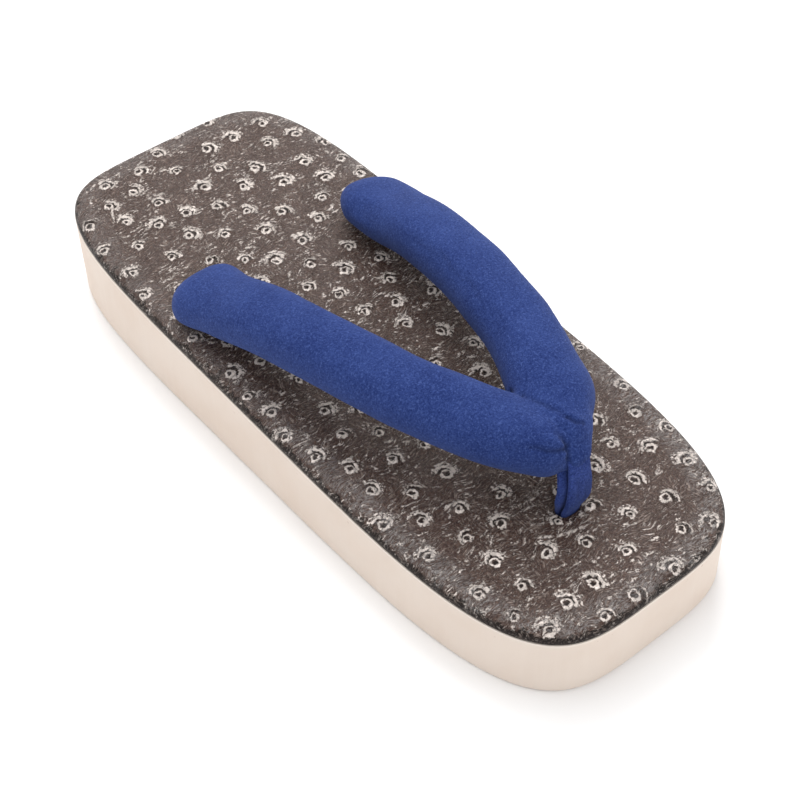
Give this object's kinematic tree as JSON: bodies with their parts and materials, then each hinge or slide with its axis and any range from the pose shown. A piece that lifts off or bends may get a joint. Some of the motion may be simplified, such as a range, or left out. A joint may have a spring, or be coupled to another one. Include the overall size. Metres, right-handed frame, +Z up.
{
  "type": "thong sandal",
  "caption": "Thong sandal with a flat wedge platform, a wrapped embossed footbed, padded straps that meet in a V, and a toe post.",
  "frame": {"origin": "on the floor, under the centre of the sandal's box", "axes": "+Y towards the heel, -Y towards the toe, +X towards the wearer's left, +Z up from the floor"},
  "size_m": [0.107, 0.2618, 0.0629],
  "materials": {
    "foam": "matte cream foam",
    "embossed_cover": "satin, embossed with raised quill marks",
    "strap_cloth": "soft brushed nap",
    "post_cloth": "soft brushed nap"
  },
  "bodies": {
    "root": {"sole": "foam", "footbed": "embossed_cover", "straps": "strap_cloth", "toe_post": "post_cloth"}
  },
  "joints": []
}
